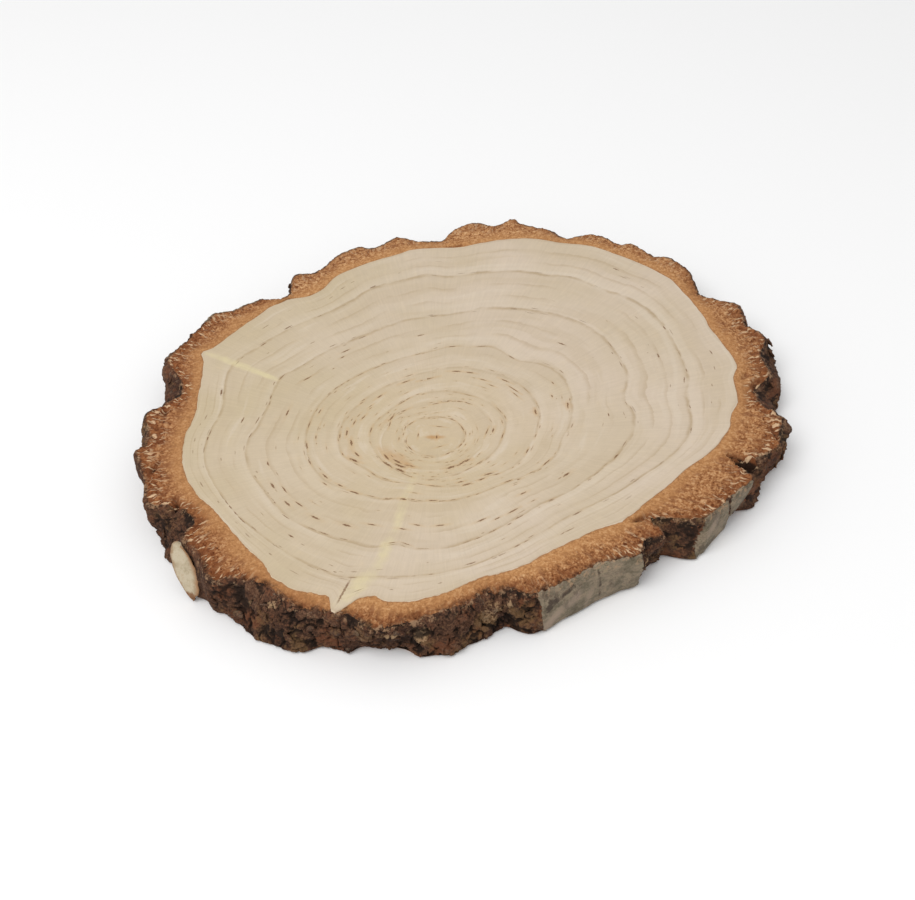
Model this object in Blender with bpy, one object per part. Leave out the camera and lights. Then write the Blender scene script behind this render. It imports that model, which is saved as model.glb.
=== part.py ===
"""A sawn slice of birch trunk with its bark on, modelled as the one solid that it grew as.

The slice lies flat. Its origin is at the middle of its bounding box, on the underside.
Both outlines are drawn round the pith, the point where the tree's first year began, which is off centre
because the trunk grew faster on one side.
"""

import math

import bmesh
import bpy
import numpy as np

# Driving dimensions, in metres.
MM = 0.001
THICKNESS = 15.0 * MM
BARK_DROP = 0.4 * MM  # the saw tears the soft bark a little lower than the wood, on both faces
SIDES = 360
SIDE_LEVELS = 4  # bands of faces up the bark's outer side
BELLY = 0.6 * MM  # the bark swells this much halfway up its side
SHARP_EDGE = math.radians(40)

# The edge of the wood, under the bark: (degrees anticlockwise from +X, millimetres from the pith).
# The two narrow tips, at 151 and 250 degrees, are where branches once left the trunk.
WOOD_EDGE = (
    (0, 87.6), (3, 90.6), (7, 92.6), (9.5, 96.0), (17, 99.9), (20, 104.0), (30, 106.8), (35, 110.3),
    (43, 115.7), (46, 118.1), (57, 119.3), (62, 119.5), (68, 116.7), (71, 116.5), (76, 114.0),
    (83, 107.7), (86, 105.0), (95, 104.0), (98, 101.7), (108, 96.4), (113, 93.3), (117.5, 88.0),
    (121, 86.6), (126.5, 88.7), (131, 88.7), (135, 87.2), (149, 86.1), (151.3, 88.0), (154, 84.5),
    (165, 77.6), (173, 75.3), (180, 76.2), (190, 75.7), (200, 73.0), (208, 69.9), (215, 69.1),
    (228, 69.7), (233, 71.9), (238, 72.0), (246.5, 69.8), (249.7, 74.4), (253.5, 67.6), (257, 65.7),
    (259, 67.0), (263, 66.7), (270, 64.3), (278, 60.7), (284, 58.8), (293, 58.7), (304, 57.7),
    (317, 59.6), (327, 64.7), (335, 67.3), (344, 72.3), (349, 75.6), (353, 80.1), (358, 85.9),
)

# The bark's rim on the upper face, in the same terms. Each plate of bark rises from one fissure,
# swells to a ridge and drops to the next fissure.
BARK_RIM = (
    (0.0, 107.4), (3.5, 110.2), (7.3, 108.2), (10.3, 107.3), (12.0, 110.6), (15.0, 115.4),
    (21.0, 121.1), (24.3, 123.0), (26.5, 121.5), (29.3, 120.0), (31.5, 123.3), (34.3, 125.8),
    (36.0, 123.4), (39.7, 119.2), (42.0, 122.3), (47.0, 129.6), (50.0, 130.0), (52.2, 127.4),
    (56.8, 129.8), (58.5, 127.0), (62.0, 129.5), (64.0, 128.6), (65.5, 125.1), (67.5, 121.5),
    (71.0, 125.0), (75.8, 125.8), (77.6, 129.4), (79.0, 124.3), (81.2, 122.7), (83.2, 124.0),
    (86.0, 121.1), (88.0, 116.0), (89.4, 110.2), (93.5, 110.6), (98.0, 114.8), (99.4, 112.4),
    (103.0, 108.6), (105.2, 110.2), (110.0, 107.2), (116.5, 100.2), (120.0, 102.5), (122.0, 98.2),
    (124.5, 92.4), (127.0, 92.4), (129.5, 95.7), (137.0, 97.3), (139.2, 100.7), (145.5, 98.8),
    (151.0, 97.2), (156.0, 97.5), (160.0, 92.1), (163.5, 89.2), (166.5, 86.2), (169.0, 87.0),
    (172.5, 91.9), (176.0, 90.4), (180.5, 88.0), (183.8, 91.0), (189.0, 88.4), (192.0, 87.4),
    (198.5, 88.3), (200.5, 84.0), (205.0, 79.0), (208.0, 77.8), (210.5, 82.2), (217.0, 81.1),
    (223.0, 83.9), (227.0, 79.4), (233.0, 76.4), (239.0, 77.6), (247.0, 75.5), (251.0, 74.6),
    (258.5, 77.0), (265.0, 74.0), (273.0, 69.9), (279.0, 67.5), (283.0, 64.4), (289.5, 66.0),
    (293.0, 68.5), (310.0, 68.7), (316.0, 71.9), (320.5, 75.4), (324.0, 74.1), (328.0, 77.4),
    (331.0, 71.4), (333.0, 74.5), (335.8, 84.0), (340.5, 87.6), (346.0, 92.1), (349.8, 96.0),
    (352.0, 90.4), (354.5, 89.4), (356.8, 98.6),
)

# How far the foot of the bark stands out past the rim above it (degrees, millimetres). The fissures
# slant through the slice, so some plates lean out, some lean in, and a plate's foot can cover the
# notch beside its rim.
FOOT_SPREAD = (
    (0, -3.0), (8, 0.8), (20, -1.4), (31, 1.8), (40, 2.6), (50, -1.8), (61, -0.8), (68, 2.2),
    (78, -2.2), (88, 2.0), (98, -1.6), (110, 1.2), (120, -1.0), (125, 2.4), (140, -1.4), (152, 0.8),
    (166, 2.6), (173, 0.4), (182, 1.8), (192, 1.2), (196, -0.8), (199, -2.0), (200.5, 1.5), (203, 5.0),
    (206, 7.6), (208, 7.2), (210, 1.2), (213, 1.6), (217.5, 3.1), (221, -0.6), (225, 0.0), (228, 2.9),
    (234, 6.2), (238, 4.0), (244, 3.0), (247, 0.2), (251, 0.6), (253, -0.4), (255, -4.0), (260, -5.8),
    (264, -3.4), (268, 0.9), (271, 1.8), (274, 3.4), (278, 2.0), (282.5, 3.7), (288, 0.4), (290.5, 2.4),
    (294, 2.4), (301, 0.9), (311, 1.0), (319.5, -1.3), (323, -0.4), (328, -3.4), (330, 1.8), (332, 3.3),
    (333.3, 8.2), (335, 2.3), (337, 0.2), (342, -0.9), (346, -1.6), (349, -4.6), (350, 0.4), (352, 8.0),
    (354, 9.8), (356, 4.7), (357.4, -0.8),
)

SAWN_WOOD = {"colour": (0.66, 0.55, 0.40, 1.0), "roughness": 0.72}
BARK = {"colour": (0.30, 0.13, 0.05, 1.0), "roughness": 0.9}


def clear_scene():
    for obj in list(bpy.data.objects):
        bpy.data.objects.remove(obj)


def make_material(name, finish):
    material = bpy.data.materials.new(name)
    material.use_nodes = True
    shader = material.node_tree.nodes["Principled BSDF"]
    shader.inputs["Base Color"].default_value = finish["colour"]
    shader.inputs["Roughness"].default_value = finish["roughness"]
    shader.inputs["Metallic"].default_value = 0.0
    material.diffuse_color = finish["colour"]
    return material


def outline(points):
    """A function of degrees that runs smoothly through the points and never past a ridge or a notch."""
    at, value = np.array(points, float).T
    at = np.concatenate((at - 360.0, at, at + 360.0))
    value = np.tile(value, 3)
    gap = np.diff(at)
    slope = np.diff(value) / gap
    before, after = slope[:-1], slope[1:]
    steady = before * after > 0.0
    tangent = np.zeros_like(value)
    tangent[1:-1][steady] = 2.0 * before[steady] * after[steady] / (before[steady] + after[steady])

    def value_at(degrees):
        angle = degrees % 360.0
        k = int(np.searchsorted(at, angle, side="right")) - 1
        t = (angle - at[k]) / gap[k]
        ease = t * t * (3.0 - 2.0 * t)
        lead_out = t * (1.0 - t) ** 2
        lead_in = t * t * (t - 1.0)
        bend = gap[k] * (lead_out * tangent[k] + lead_in * tangent[k + 1])
        return value[k] + ease * (value[k + 1] - value[k]) + bend

    return value_at


def place(verts, radius_at, height):
    """Moves each vertex to the outline, keeping its own direction from the pith."""
    for vert in verts:
        angle = math.atan2(vert.co.y, vert.co.x)
        radius = radius_at(math.degrees(angle)) * MM
        vert.co = (radius * math.cos(angle), radius * math.sin(angle), height)


def extrude_loop(bm, loop, radius_at, height):
    """Extrudes a closed loop of edges, moves the copy to a new outline and height, and returns it."""
    made = bmesh.ops.extrude_edge_only(bm, edges=loop)["geom"]
    verts = [item for item in made if isinstance(item, bmesh.types.BMVert)]
    place(verts, radius_at, height)
    return [edge for edge in made if isinstance(edge, bmesh.types.BMEdge) and set(edge.verts) <= set(verts)]


def close_at_pith(bm, loop, height, material_index):
    """Draws a loop in to one point, the pith, and paints the fan of faces that this makes."""
    made = bmesh.ops.extrude_edge_only(bm, edges=loop)["geom"]
    for face in made:
        if isinstance(face, bmesh.types.BMFace):
            face.material_index = material_index
    verts = [item for item in made if isinstance(item, bmesh.types.BMVert)]
    bmesh.ops.pointmerge(bm, verts=verts, merge_co=(0.0, 0.0, height))


def middle_of_box(verts):
    """The middle of the slice's bounding box, seen from above."""
    xs = [vert.co.x for vert in verts]
    ys = [vert.co.y for vert in verts]
    return (min(xs) + max(xs)) / 2.0, (min(ys) + max(ys)) / 2.0


def build_wood_slice():
    wood_edge = outline(WOOD_EDGE)
    rim = outline(BARK_RIM)
    spread = outline(FOOT_SPREAD)
    low, high = BARK_DROP, THICKNESS - BARK_DROP

    def side_at(share):
        """The bark's outline at a share of its height, from foot to rim."""
        belly = BELLY / MM * math.sin(math.pi * share)
        return lambda degrees: rim(degrees) + (1.0 - share) * spread(degrees) + belly

    bm = bmesh.new()
    circle = bmesh.ops.create_circle(bm, segments=SIDES, radius=1.0)["verts"]
    place(circle, side_at(0.0), low)
    foot = list(bm.edges)

    loop = foot
    for level in range(1, SIDE_LEVELS + 1):
        share = level / SIDE_LEVELS
        loop = extrude_loop(bm, loop, side_at(share), low + share * (high - low))
    loop = extrude_loop(bm, loop, wood_edge, high)
    loop = extrude_loop(bm, loop, wood_edge, THICKNESS)
    close_at_pith(bm, loop, THICKNESS, material_index=1)

    loop = extrude_loop(bm, foot, wood_edge, low)
    loop = extrude_loop(bm, loop, wood_edge, 0.0)
    close_at_pith(bm, loop, 0.0, material_index=1)
    bmesh.ops.recalc_face_normals(bm, faces=bm.faces)
    middle_x, middle_y = middle_of_box(bm.verts)

    mesh = bpy.data.meshes.new("wood_slice")
    bm.to_mesh(mesh)
    bm.free()
    mesh.materials.append(make_material("bark", BARK))
    mesh.materials.append(make_material("sawn_wood", SAWN_WOOD))
    mesh.shade_smooth()
    mesh.set_sharp_from_angle(angle=SHARP_EDGE)

    wood_slice = bpy.data.objects.new("wood_slice", mesh)
    wood_slice.location = (-middle_x, -middle_y, 0.0)
    bpy.context.scene.collection.objects.link(wood_slice)


clear_scene()
build_wood_slice()
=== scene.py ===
# %% [markdown]
# # A slice of birch trunk
#
# This script dresses a plain solid of a wood slice. The real thing is one piece of a tree: pale wood with a
# ring for each year, a band of orange-brown bark that the saw has cut through, and on the outside a cracked,
# nearly black skin with a few smooth silver plates left on it. The solid says where the wood ends and where
# the bark ends, so every outline here is read from it, and the cells below only add what is finer than that.

# %% Load the frame
import math

import bmesh
import bpy
import numpy as np
from mathutils import Matrix, Vector, noise


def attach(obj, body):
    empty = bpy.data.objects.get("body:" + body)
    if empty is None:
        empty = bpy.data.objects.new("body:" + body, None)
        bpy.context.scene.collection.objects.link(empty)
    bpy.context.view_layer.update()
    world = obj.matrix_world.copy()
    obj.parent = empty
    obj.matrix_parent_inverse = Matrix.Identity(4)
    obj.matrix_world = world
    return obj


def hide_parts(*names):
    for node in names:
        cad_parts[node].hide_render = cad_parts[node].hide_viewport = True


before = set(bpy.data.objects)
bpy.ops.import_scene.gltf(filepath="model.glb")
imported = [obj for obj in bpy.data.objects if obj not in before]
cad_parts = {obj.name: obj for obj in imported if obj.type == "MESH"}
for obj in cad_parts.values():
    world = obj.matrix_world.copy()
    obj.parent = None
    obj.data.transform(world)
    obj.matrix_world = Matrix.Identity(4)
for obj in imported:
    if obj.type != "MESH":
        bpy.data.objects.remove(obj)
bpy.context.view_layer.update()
MM = 0.001
NOISE_SEED = 7
noise.seed_set(NOISE_SEED)  # without it, noise_vector gives other values in every session

# %% [markdown]
# ## The two outlines
#
# A tree grows outwards from its pith, so everything in the slice is easiest to place by an angle round the
# pith and a distance from it. The solid's corners stand on whole degrees round it at a few heights. From them
# come two kinds of outline: the edge of the wood, and the outside of the bark at its foot, its middle and its
# rim.

# %% Read the outlines from the solid
PITH = np.array([-10.310, -25.061])  # mm
corners = np.array([vertex.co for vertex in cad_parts["wood_slice"].data.vertices]) / MM
TOP = corners[:, 2].max()
from_pith = np.hypot(*(corners[:, :2] - PITH).T)
bearing = np.degrees(np.arctan2(*(corners[:, :2] - PITH).T[::-1]))
degree = bearing.round().astype(int) % 360
LEVEL_SLACK = 0.1  # mm
print(f"the corners stand within {np.abs(bearing - bearing.round()).max():.3f} of a whole degree")


def outline_at(height, pick):
    """The least or greatest distance from the pith, degree by degree, of the corners at a height."""
    near = np.abs(corners[:, 2] - height) < LEVEL_SLACK
    found = np.unique(degree[near])
    radii = [pick(from_pith[near & (degree == whole)]) for whole in found]
    return np.interp(np.arange(361), found, radii, period=360)


levels = np.unique(corners[:, 2].round(2))
RIM_HEIGHT, FOOT_HEIGHT = levels[-2], levels[1]
wood_table = outline_at(TOP, np.min)
rim_table = outline_at(RIM_HEIGHT, np.max)
foot_table = outline_at(FOOT_HEIGHT, np.max)

# Where the real bark stands out a little further, or less far, than the solid's corners, as (degrees, mm).
RIM_LUMPS = (
    (350.5, 0), (352, 4.5), (353, 8.0), (354, 10.0), (355, 8.0), (356, 5.0), (357, 3.5), (359, 1), (360, 0),
)
FOOT_LUMPS = ((180, 0), (184, -3.4), (190, -3.6), (196, -2.4), (198, 0))


def between(table, places):
    """Straight lines through a table of (place, value), read at any places."""
    return np.interp(places, *zip(*table))


rim_table += between(RIM_LUMPS, np.arange(361))
foot_table += between(FOOT_LUMPS, np.arange(361))
belly = (outline_at(levels[len(levels) // 2], np.max) - (rim_table + foot_table) / 2).mean()
print(f"heights {levels} mm, wood {wood_table.min():.1f} to {wood_table.max():.1f} mm from the pith")


def read(table, degrees):
    """A degree-by-degree table at any angle."""
    return np.interp(np.mod(degrees, 360.0), np.arange(361.0), table)


def wood_edge(degrees):
    return read(wood_table, degrees)


def towards(degrees):
    """For each angle, a step of one mm that way."""
    return np.stack([np.cos(np.radians(degrees)), np.sin(np.radians(degrees))], axis=1)


def bark_side(degrees, share):
    """The bark's outside at a share of its height, from 0 at the foot to 1 at the rim."""
    straight = read(foot_table, degrees) * (1 - share) + read(rim_table, degrees) * share
    return straight + belly * np.sin(np.pi * share)


# %% [markdown]
# ## Camera, light and floor
#
# The camera looks down at the slice from the front, from about two slice-widths away. The light is that of a
# plain studio: a bright even surround, with one large soft lamp above the front left, so that the cracked
# bark keeps some modelling and the slice sits on a faint shadow.

# %% Camera
LOOK_DOWN = math.radians(42.0)
CAMERA_FROM_PITH = (6.84, -289.74, 255.56)  # mm, from the pith on the top face
scene = bpy.context.scene
scene.view_settings.view_transform = "Standard"


def stand(name, data):
    """A new object in the scene that shows some data."""
    made = bpy.data.objects.new(name, data)
    scene.collection.objects.link(made)
    return made


camera_data = bpy.data.cameras.new("camera")
camera_data.lens, camera_data.sensor_width = 50.0, 36.0  # mm
camera = stand("camera", camera_data)
camera.location = (np.array([*PITH, TOP]) + CAMERA_FROM_PITH) * MM
camera.rotation_euler = (math.pi / 2 - LOOK_DOWN, 0.0, 0.0)
scene.camera = camera
print("the camera stands at", [round(at, 3) for at in camera.location], "m")

# %% Light and floor
SURROUND_STRENGTH = 0.72
LAMP_PLACE = (-0.45, -0.55, 1.05)  # m
LAMP_WIDTH, LAMP_POWER = 0.9, 8.0  # m and W
FLOOR_REACH = 3.0  # m, from its middle to its edges
FLOOR_DROP = 0.2  # mm, from the slice's foot, so that the two don't share a plane
FLOOR_GREY = 0.93

world = bpy.data.worlds.new("studio")
world.use_nodes = True
surround = world.node_tree.nodes["Background"].inputs
surround["Color"].default_value = (1.0, 1.0, 1.0, 1.0)
surround["Strength"].default_value = SURROUND_STRENGTH
scene.world = world

lamp_data = bpy.data.lights.new("soft_lamp", "AREA")
lamp_data.shape = "DISK"
lamp_data.size, lamp_data.energy = LAMP_WIDTH, LAMP_POWER
lamp = stand("soft_lamp", lamp_data)
lamp.location = LAMP_PLACE
lamp.rotation_euler = Vector(LAMP_PLACE).to_track_quat("Z", "Y").to_euler()

floor_mesh = bpy.data.meshes.new("floor")
floor_maker = bmesh.new()
bmesh.ops.create_grid(floor_maker, x_segments=1, y_segments=1, size=FLOOR_REACH)
bmesh.ops.translate(floor_maker, verts=floor_maker.verts, vec=(0.0, 0.0, -FLOOR_DROP * MM))
floor_maker.to_mesh(floor_mesh)
floor_maker.free()
floor_material = bpy.data.materials.new("pale_floor")
floor_material.use_nodes = True
floor_finish = floor_material.node_tree.nodes["Principled BSDF"].inputs
floor_finish["Base Color"].default_value = (FLOOR_GREY, FLOOR_GREY, FLOOR_GREY, 1.0)
floor_finish["Roughness"].default_value = 0.9
floor_mesh.materials.append(floor_material)
stand("floor", floor_mesh)
print("one lamp, an even surround and a pale floor")

# %% [markdown]
# ## A short way to write materials
#
# A material's pattern is arithmetic on sockets. Wrapping a socket in a small class lets that arithmetic be
# written as Python sums: each operator adds the Math node that does it.


# %% The socket class
def is_vector(value):
    """Whether a value holds three numbers: a tuple, or a vector or colour socket."""
    return isinstance(value, tuple) or (isinstance(value, Wire) and value.socket.type in ("VECTOR", "RGBA"))


class Wire:
    """One output socket in a material. Sums on wires add Math nodes, and node() adds any other kind."""

    def __init__(self, tree, socket=None):
        self.tree = tree
        self.socket = socket

    def node(self, kind, settings=None, inputs=None, output=0):
        made = self.tree.nodes.new("ShaderNode" + kind)
        for name, value in (settings or {}).items():
            if name == "stops":
                ramp = made.color_ramp
                while len(ramp.elements) > 1:
                    ramp.elements.remove(ramp.elements[-1])
                ramp.elements[0].position = value[0][0]
                for at, _ in value[1:]:
                    ramp.elements.new(at)
                for element, (_, colour) in zip(ramp.elements, value):
                    element.color = (*colour, 1.0)
            else:
                setattr(made, name, value)
        for name, value in (inputs or {}).items():
            if isinstance(value, Wire):
                self.tree.links.new(value.socket, made.inputs[name])
            else:
                made.inputs[name].default_value = value
        return Wire(self.tree, made.outputs[output])

    def math(self, operation, *values):
        kind = "VectorMath" if any(is_vector(value) for value in values) else "Math"
        return self.node(kind, {"operation": operation}, dict(enumerate(values)))

    def then(self, operation, *others):
        """One more operation, with this wire as its first value."""
        return self.math(operation, self, *others)

    def __add__(self, other):
        return self.math("ADD", self, other)

    __radd__ = __add__

    def __mul__(self, other):
        return self.math("MULTIPLY", self, other)

    __rmul__ = __mul__

    def __sub__(self, other):
        return self.math("SUBTRACT", self, other)

    def __rsub__(self, other):
        return self.math("SUBTRACT", other, self)

    def __truediv__(self, other):
        return self.math("DIVIDE", self, other)


# %% Helpers that shape a value or a colour
def smooth(value, low, high):
    """0 up to low, 1 from high on, and an even curve between them. low may be the larger."""
    ends = {"Value": value, "From Min": low, "From Max": high}
    return value.node("MapRange", {"interpolation_type": "SMOOTHSTEP"}, ends)


def swing(value, amount):
    """A 0 to 1 value, turned into a push of up to half an amount either way."""
    return (value - 0.5) * amount


def toned(value, stops):
    """A colour for each value, from stops of (value, colour)."""
    return value.node("ValToRGB", {"stops": stops}, {"Fac": value})


def mixed(factor, first, second):
    """The first colour where factor is 0 and the second where it is 1."""
    inputs = {0: factor, 6: as_colour(first), 7: as_colour(second)}
    return factor.node("Mix", {"data_type": "RGBA"}, inputs, 2)


def layered(colour, *layers):
    """A colour under layers of (how much, colour), the last of them on top."""
    for amount, layer in layers:
        colour = mixed(amount, colour, layer)
    return colour


def as_colour(value):
    return value if isinstance(value, Wire) else (*value, 1.0)


# %% Helpers that read a place
def grain(vector, scale, detail=2.0, roughness=0.5):
    """Noise from 0 to 1 whose lumps are about 1 / scale across, in the vector's own unit."""
    inputs = {"Vector": vector, "Scale": scale, "Detail": detail, "Roughness": roughness}
    return vector.node("TexNoise", {}, inputs)


def vector_of(x, y, z=0.0):
    first = next(value for value in (x, y, z) if isinstance(value, Wire))
    return first.node("CombineXYZ", {}, {"X": x, "Y": y, "Z": z})


def parts_of(vector):
    """The three numbers of a vector."""
    split = vector.node("SeparateXYZ", {}, {"Vector": vector}).socket.node
    return [Wire(vector.tree, split.outputs[axis]) for axis in "XYZ"]


def scaled(vector, factor):
    return vector.node("VectorMath", {"operation": "SCALE"}, {0: vector, "Scale": factor})


def length_of(vector):
    return vector.node("VectorMath", {"operation": "LENGTH"}, {0: vector}, 1)


def seen_from_pith(place):
    """The place flat on the slice, its distance from the pith, and the direction it lies in."""
    x, y, _ = parts_of(place)
    flat = vector_of(x, y)
    return flat, length_of(flat), flat.node("VectorMath", {"operation": "NORMALIZE"}, {0: flat})


# %% How each material begins and ends
def start_material(name):
    """A new material and a wire to begin its pattern with: the place on the piece, in millimetres."""
    material = bpy.data.materials.new(name)
    material.use_nodes = True
    tree = material.node_tree
    place = Wire(tree).node("TexCoord", {}, {}, "Object")
    return material, scaled(place, 1 / MM) - (*PITH, 0.0)


def finish_material(material, colour, roughness, gloss, height, depth):
    """Plugs a pattern into the shader. height, from 0 to 1, becomes a bump that is depth metres high."""
    tree = material.node_tree
    shader = tree.nodes["Principled BSDF"]
    shader.inputs["Specular IOR Level"].default_value = gloss
    tree.links.new(colour.socket, shader.inputs["Base Color"])
    tree.links.new(roughness.socket, shader.inputs["Roughness"])
    bump = height.node("Bump", {}, {"Height": height, "Distance": depth, "Strength": 1.0})
    tree.links.new(bump.socket, shader.inputs["Normal"])
    return material


def attribute(place, name):
    """The three numbers that a piece's own mesh holds under a name."""
    return parts_of(place.node("Attribute", {"attribute_name": name}, {}, "Vector"))


# %% [markdown]
# ## The growth rings
#
# The rings could be circles, but this tree grew faster on one side and swelled where two branches left it, so
# its rings are lopsided and they buckle at the branches. Each is drawn as a closed curve through a few
# distances from the pith. Between two curves the wood is a share of the way from one year to the next, and
# that share is what the pattern on the wood is drawn from.

# %% Draw the rings
RINGS = (
    ((0, 9), (60, 9.8), (110, 9.2), (150, 10.2), (165, 8.6), (200, 9.2), (240, 9), (280, 8.6), (320, 8.4)),
    ((0, 15.6), (10, 17.6), (35, 18.6), (60, 19), (78, 17.3), (92, 15.8), (130, 15.8), (145, 16.3),
     (160, 15.4), (190, 16.4), (225, 16.5), (245, 15.3), (290, 14.4), (315, 14.2), (340, 14.8)),
    ((0, 20.5), (20, 22.7), (50, 23), (75, 22.2), (105, 21), (125, 19.5), (150, 18.8), (170, 19.9),
     (200, 19.2), (230, 18.6), (262, 19), (290, 17.6), (320, 17.8), (345, 19.4)),
    ((0, 30.3), (10, 32.3), (20, 34.4), (30, 35.8), (40, 36.6), (65, 35.8), (80, 34.6), (92, 32.6),
     (105, 30.5), (120, 29.3), (140, 28.6), (165, 29.3), (188, 29.2), (198, 28.6), (206, 26.2),
     (216, 24.7), (232, 24), (242, 22.8), (254, 21.3), (270, 21.6), (290, 22.5), (312, 23.6), (322, 25.6),
     (335, 27.5)),
    ((0, 39), (10, 42.5), (20, 45.2), (30, 49), (40, 50.2), (47, 49.4), (55, 46.2), (60, 46.8),
     (67, 48.8), (74, 46.8), (84, 45.6), (92, 43), (105, 40.6), (130, 39.2), (150, 39.4), (190, 39),
     (206, 38), (216, 36.4), (228, 33.4), (240, 31.2), (250, 28.6), (270, 28.2), (300, 28), (315, 29.2),
     (328, 32), (340, 35.4), (350, 37.6)),
    ((0, 59.6), (5, 61.6), (11, 62.7), (17, 62.3), (25, 67.8), (32, 71), (47, 75.8), (58, 74.8),
     (68, 72.3), (76, 69), (85, 63.8), (93, 62.4), (105, 59.5), (118, 56.7), (135, 56), (143, 56.2),
     (149, 57.6), (155, 56.4), (166, 54.3), (175, 55), (183, 56.9), (192, 56.9), (204, 54.9), (216, 54.3),
     (228, 52.5), (241, 50.2), (250, 49.2), (257, 46.2), (264, 47.2), (275, 46.4), (295, 43), (307, 42),
     (317, 42.6), (332, 47), (341, 50.2), (350, 54.8)),
    ((0, 77), (6, 79.5), (15, 82.2), (20, 86.4), (28, 90), (36, 95), (46, 98.6), (54, 97), (60, 97.8),
     (66, 95.4), (73, 93.4), (80, 90), (87, 86.2), (93, 87.4), (98, 84.8), (106, 82.4), (112, 77.8),
     (118, 75), (131, 74.4), (142, 74.2), (149, 75.4), (155, 74.2), (162, 70.6), (170, 67.9), (180, 69.2),
     (190, 69.2), (204, 66.2), (216, 64.4), (230, 62.7), (247, 62.2), (256, 59), (266, 57), (280, 54.4),
     (295, 51.6), (308, 50.6), (322, 52.2), (333, 57.2), (343, 62.8), (352, 70.2)),
)


def closed_curve(points):
    """Degree by degree, a smooth curve through points of (degrees, mm) that goes once round the pith."""
    at, value = np.array(points, float).T
    at = np.concatenate((at - 360, at, at + 360))
    value = np.tile(value, 3)
    slope = np.diff(value) / np.diff(at)
    tangent = np.zeros_like(value)
    tangent[1:-1] = (slope[:-1] + slope[1:]) / 2
    whole = np.arange(361.0)
    k = np.searchsorted(at, whole, side="right") - 1
    gap = at[k + 1] - at[k]
    t = (whole - at[k]) / gap
    bend = t * (1 - t) ** 2 * tangent[k] - t * t * (1 - t) * tangent[k + 1]
    return value[k] + t * t * (3 - 2 * t) * (value[k + 1] - value[k]) + gap * bend


ring_tables = np.array([np.zeros(361)] + [closed_curve(points) for points in RINGS] + [wood_table])
YEARS = len(ring_tables) - 1
least_gap = np.diff(ring_tables, axis=0).min(axis=1)
print(f"{YEARS} rings, the narrowest {least_gap.min():.1f} mm apart")


def radius_of(year, degrees):
    """How far from the pith the wood of a year is, in that direction."""
    low = np.clip(np.floor(year).astype(int), 0, YEARS - 1)
    inner = np.array([read(table, degrees) for table in ring_tables])
    picked = np.arange(len(degrees))
    return inner[low, picked] + (year - low) * (inner[low + 1, picked] - inner[low, picked])


def year_at(degrees, radius):
    """The year that grew at one place in the wood."""
    here = [read(table, degrees) for table in ring_tables]
    return float(np.interp(radius, here, np.arange(YEARS + 1.0)))


# %% [markdown]
# ## The wood
#
# The wood is a disc, so it is turned: half its section is spun round the pith. The section's rows are years,
# eight to a ring, which puts a row of corners on every ring line and keeps the lines crisp. Once it is spun,
# each corner is moved out to where its year really grew. Its rim stands a hair proud of the bark, as it does
# after sanding, because bark is softer.

# %% Turn the wood
ROWS_IN_A_YEAR = 8
WEDGES = 36  # a whole turn is spun as this many equal wedges
WOOD_STEPS = 720
UNDER_ROWS = 3
EDGE_SOFTNESS = 0.25  # mm, the worn corner between a face and the hidden side


# %% Helpers for every piece
def new_piece(name, maker, material):
    """Closes a bmesh into an object that rides on the slice and stands for it."""
    mesh = bpy.data.meshes.new(name)
    maker.to_mesh(mesh)
    maker.free()
    mesh.materials.append(material)
    mesh.shade_smooth()
    piece = stand(name, mesh)
    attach(piece, "root")
    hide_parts("wood_slice")
    print(f"{name}: {len(mesh.polygons)} faces")
    return piece


def hold(mesh, name, numbers, domain="POINT"):
    """Keeps three numbers for each vertex, or each corner of a face, for the material to read."""
    kept = mesh.attributes.new(name, "FLOAT_VECTOR", domain)
    kept.data.foreach_set("vector", numbers.astype(np.float32).ravel())


def corners_of(mesh):
    found = np.empty(len(mesh.vertices) * 3)
    mesh.vertices.foreach_get("co", found)
    return found.reshape(-1, 3)


def move_corners(mesh, places):
    mesh.vertices.foreach_set("co", (places * MM).ravel())
    mesh.update()


def ripple(places, size, octaves=3.0):
    """Smooth noise, about -1 to 1, at each place, with lumps of a size in mm."""
    return np.array([noise.fractal(Vector(place) / size, 0.9, 2.0, octaves) for place in places])


# %% Spin a section
def spin_section(section, steps, closed):
    """Spins a chain of (distance, height) points round the Z axis: first a wedge, then copies of it."""
    maker = bmesh.new()
    chain = [maker.verts.new((distance, 0.0, height)) for distance, height in section]
    pairs = list(zip(chain, chain[1:] + chain[:1] if closed else chain[1:]))
    edges = [maker.edges.new(pair) for pair in pairs]
    wedge = math.tau / WEDGES
    round_axis = {"cent": (0, 0, 0), "axis": (0, 0, 1)}
    bmesh.ops.spin(maker, geom=chain + edges, angle=wedge, steps=steps // WEDGES, **round_axis)
    whole = maker.verts[:] + maker.edges[:] + maker.faces[:]
    bmesh.ops.spin(
        maker, geom=whole, angle=math.tau - wedge, steps=WEDGES - 1, use_duplicate=True, **round_axis
    )
    bmesh.ops.remove_doubles(maker, verts=maker.verts, dist=1e-4)
    bmesh.ops.recalc_face_normals(maker, faces=maker.faces)
    return maker


def wood_section():
    """Half the disc's section, with years for distances and 1 and -1 for its two faces."""
    above = [(year / ROWS_IN_A_YEAR, 1.0) for year in range(YEARS * ROWS_IN_A_YEAR + 1)]
    below = [(year / UNDER_ROWS, -1.0) for year in range(YEARS * UNDER_ROWS, -1, -1)]
    return above + [(YEARS, 0.5), (YEARS, -0.5)] + below
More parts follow.
